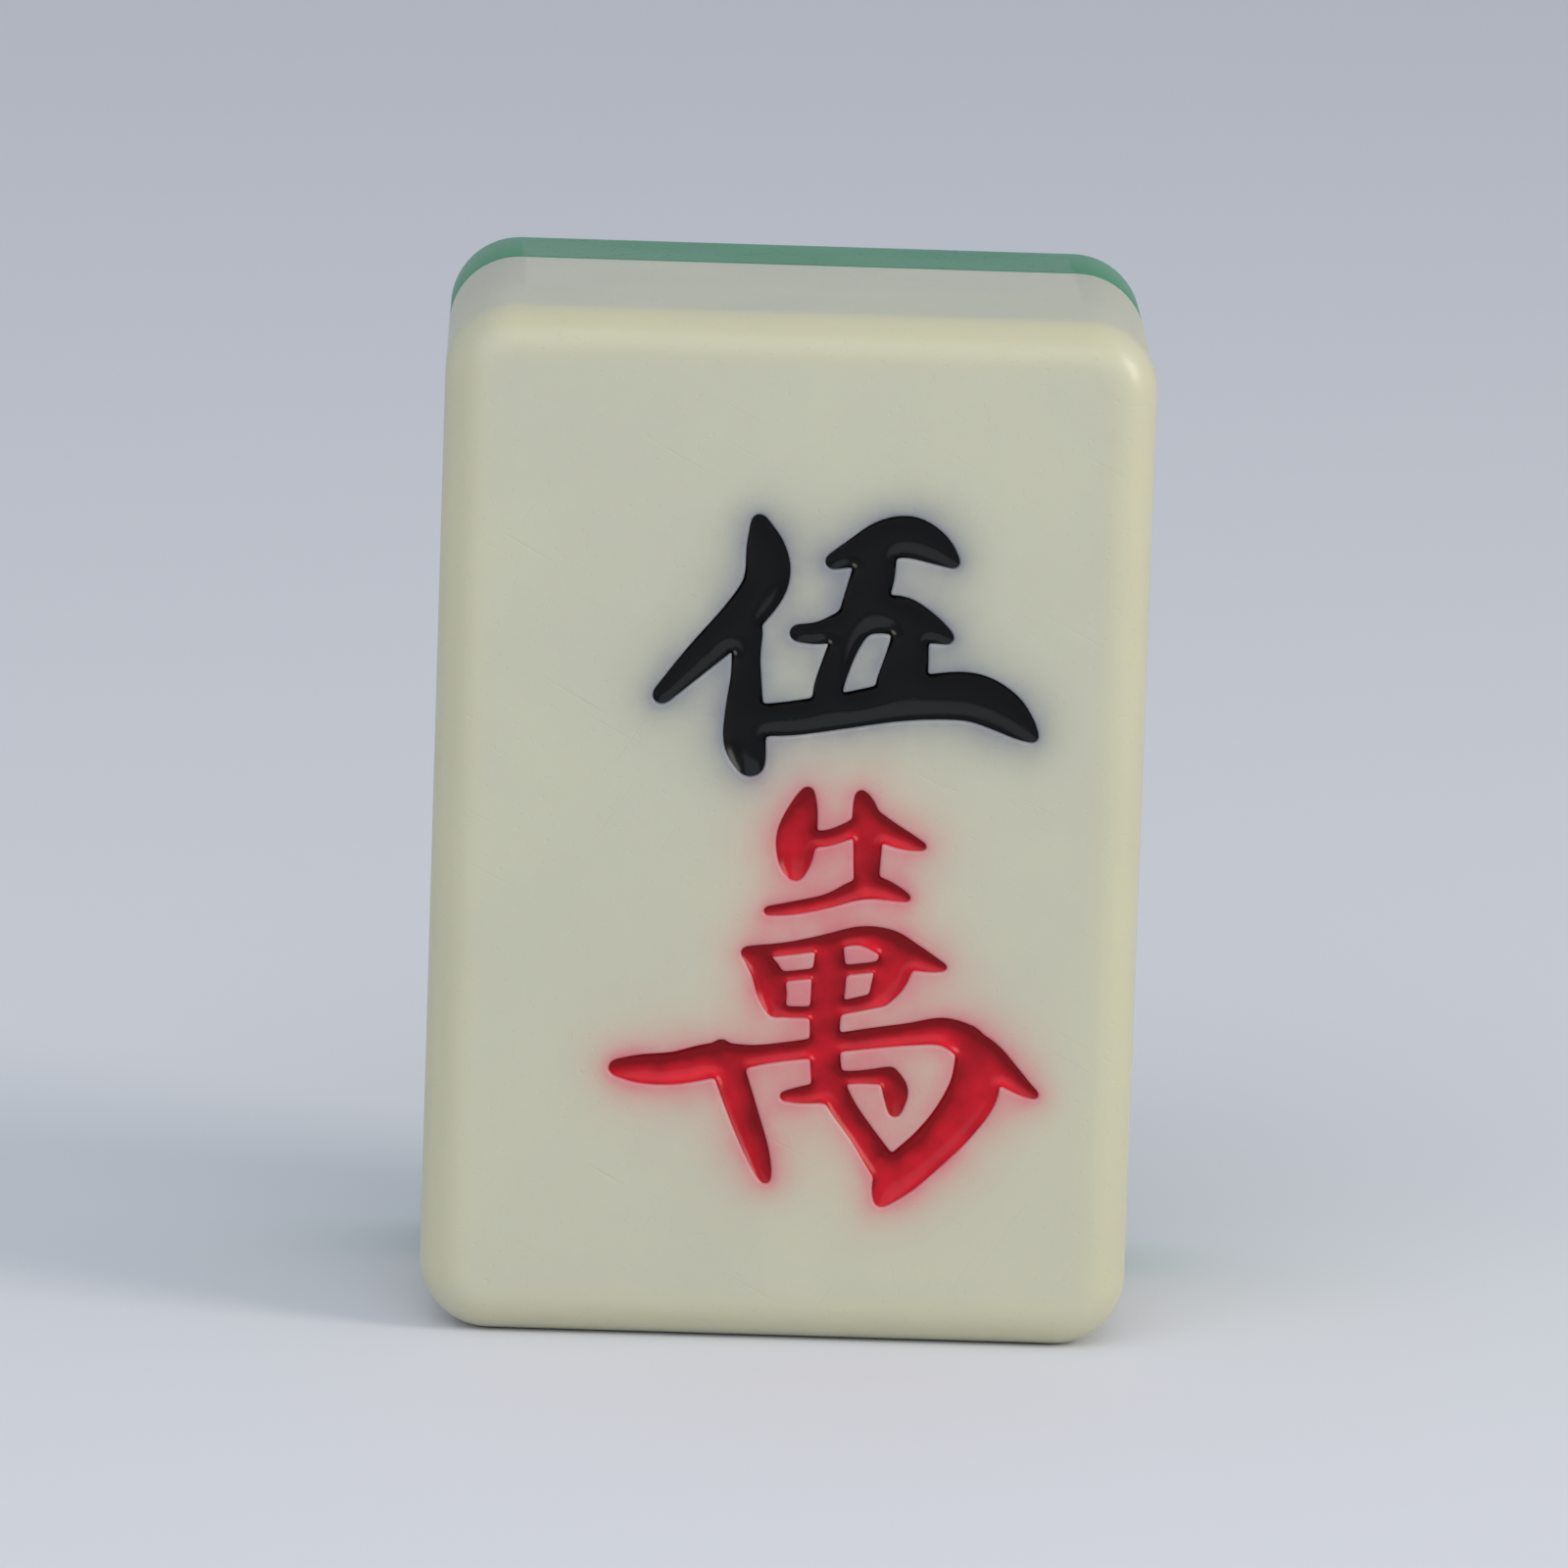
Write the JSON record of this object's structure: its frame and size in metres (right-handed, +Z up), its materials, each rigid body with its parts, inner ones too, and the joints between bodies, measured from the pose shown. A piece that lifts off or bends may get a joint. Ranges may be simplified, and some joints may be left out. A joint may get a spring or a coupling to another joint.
{
  "type": "mahjong tile",
  "caption": "Two-layer resin game tile: an ivory face layer engraved with the five of characters, enamel seated in the engraving, and a coloured back layer bonded behind it.",
  "frame": {"origin": "the middle of the lower end, on the surface that the tile stands on", "axes": "+Z runs up the tile's height, +X across its width to the right as seen from the front, and the engraved face looks along -Y"},
  "size_m": [0.015, 0.012, 0.022],
  "materials": {
    "ivory_resin": "moulded ivory resin, tumbled to a soft satin gloss",
    "green_resin": "moulded green resin, tumbled to a soft satin gloss",
    "black_enamel": "black enamel, glossy, pooled in the engraving",
    "red_enamel": "crimson enamel, glossy, pooled in the engraving"
  },
  "bodies": {
    "root": {"face_layer": "ivory_resin", "back_layer": "green_resin", "five_enamel": "black_enamel", "myriad_top_enamel": "red_enamel", "myriad_lower_enamel": "red_enamel"}
  },
  "joints": []
}
